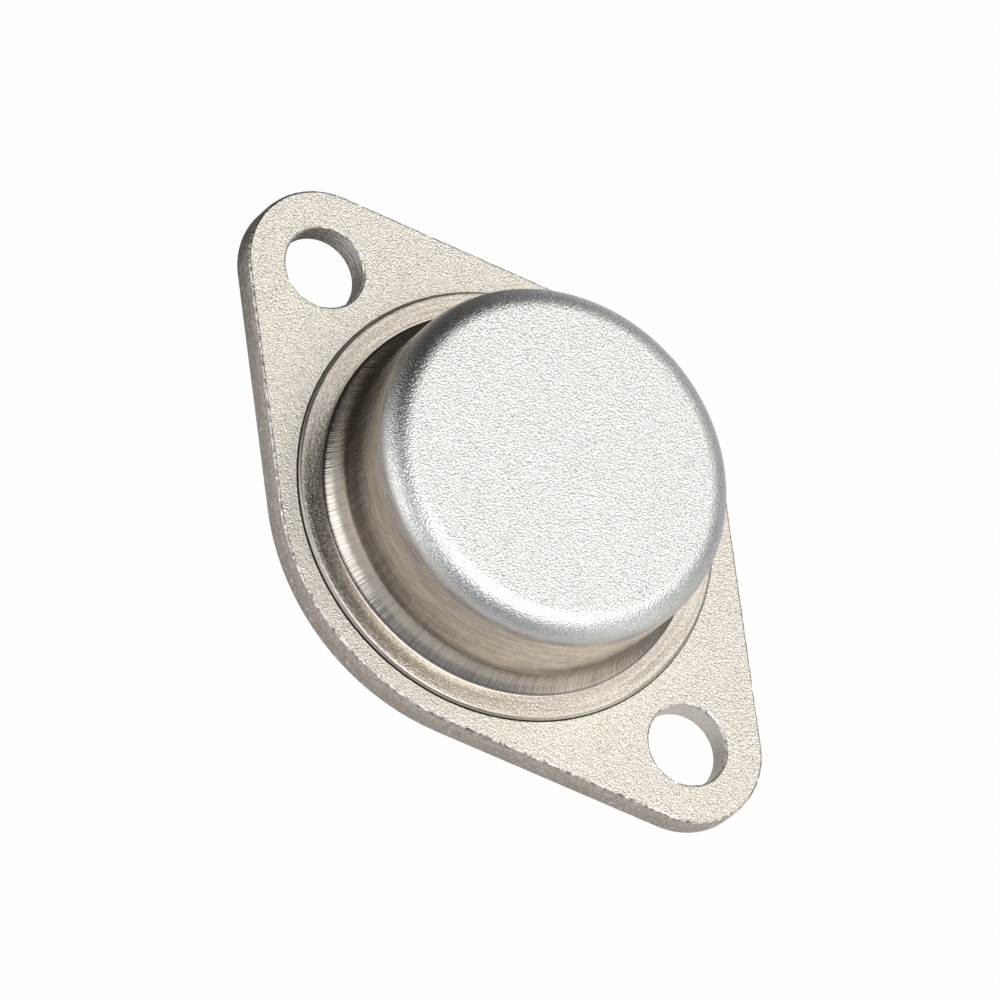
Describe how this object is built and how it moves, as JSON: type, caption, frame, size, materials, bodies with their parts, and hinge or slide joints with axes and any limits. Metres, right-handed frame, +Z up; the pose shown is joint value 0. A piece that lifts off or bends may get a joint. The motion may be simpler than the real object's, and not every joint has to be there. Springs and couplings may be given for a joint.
{
  "type": "power transistor",
  "caption": "Power transistor in a round welded metal can on a diamond flange with screw holes and straight leads through glass seals below.",
  "frame": {"origin": "middle of the flat mounting face, midway between the two mounting holes", "axes": "+X along the mounting holes' line, towards the hole nearer the leads; +Y across the flange, towards the emitter lead; +Z up through the cap"},
  "size_m": [0.0386, 0.025, 0.0184],
  "materials": {
    "flange_nickel": "nickel-plated steel, fine stipple on the faces, smoother punched edges",
    "cap_nickel": "nickel-plated drawn steel, blasted satin top, smoother wall",
    "lead_alloy": "nickel-plated wire, satin",
    "seal_glass": "dark grey-green sealing glass",
    "copper": "bare copper",
    "solder": "dull solder",
    "silicon": "polished silicon",
    "bond_wire": "soft drawn aluminium"
  },
  "bodies": {
    "root": {"header": "flange_nickel", "cap": "cap_nickel", "base_lead": "lead_alloy", "emitter_lead": "lead_alloy", "base_seal": "seal_glass", "emitter_seal": "seal_glass", "heat_spreader": "copper", "die_solder": "solder", "die": "silicon", "base_wire": "bond_wire", "emitter_wire": "bond_wire"}
  },
  "joints": []
}
